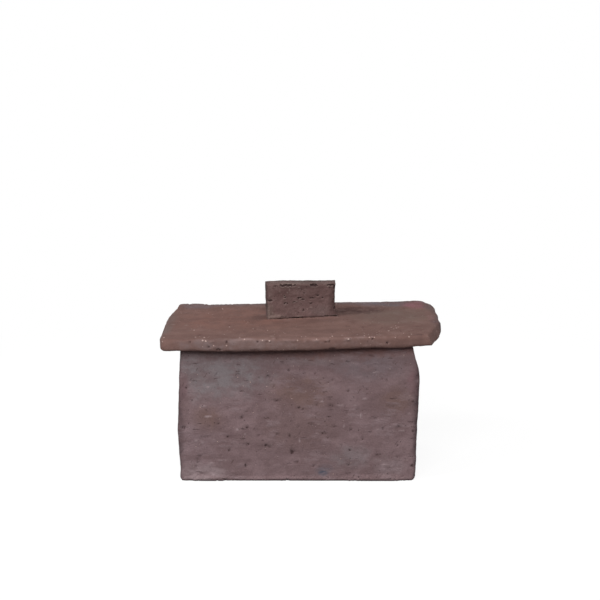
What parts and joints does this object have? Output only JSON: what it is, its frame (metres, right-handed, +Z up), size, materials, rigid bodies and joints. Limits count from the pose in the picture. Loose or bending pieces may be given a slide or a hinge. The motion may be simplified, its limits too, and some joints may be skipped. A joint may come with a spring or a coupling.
{
  "type": "lidded storage box",
  "caption": "Hand-built rectangular clay box with slightly swollen walls, under a loose slab lid with a hand-cut outline and a block knob.",
  "frame": {"origin": "on the ground under the middle of the whole object's box, which the lid sets", "axes": "+X along the front towards its right end, -Y towards the front, +Z up"},
  "size_m": [0.2949, 0.1806, 0.1923],
  "materials": {
    "body_clay": "matte unglazed grogged clay, wiped in horizontal streaks",
    "lid_clay": "matte unglazed grogged clay, smoothed",
    "knob_clay": "matte unglazed grogged clay, torn and pitted"
  },
  "bodies": {
    "box": {"base_slab": "body_clay", "front_wall": "body_clay", "back_wall": "body_clay", "left_wall": "body_clay", "right_wall": "body_clay", "corner_coil_front_left": "body_clay", "corner_coil_front_right": "body_clay", "corner_coil_back_right": "body_clay", "corner_coil_back_left": "body_clay", "base_coil_front": "body_clay", "base_coil_right": "body_clay", "base_coil_back": "body_clay", "base_coil_left": "body_clay"},
    "lid": {"lid_slab": "lid_clay", "lid_batten_front": "lid_clay", "lid_batten_right": "lid_clay", "lid_batten_back": "lid_clay", "lid_batten_left": "lid_clay", "lid_knob": "knob_clay"}
  },
  "joints": [
    {"name": "lid_lift", "type": "slide", "parent": "box", "child": "lid", "axis": [0, 0, 1], "range_m": [0, 0.15]}
  ]
}
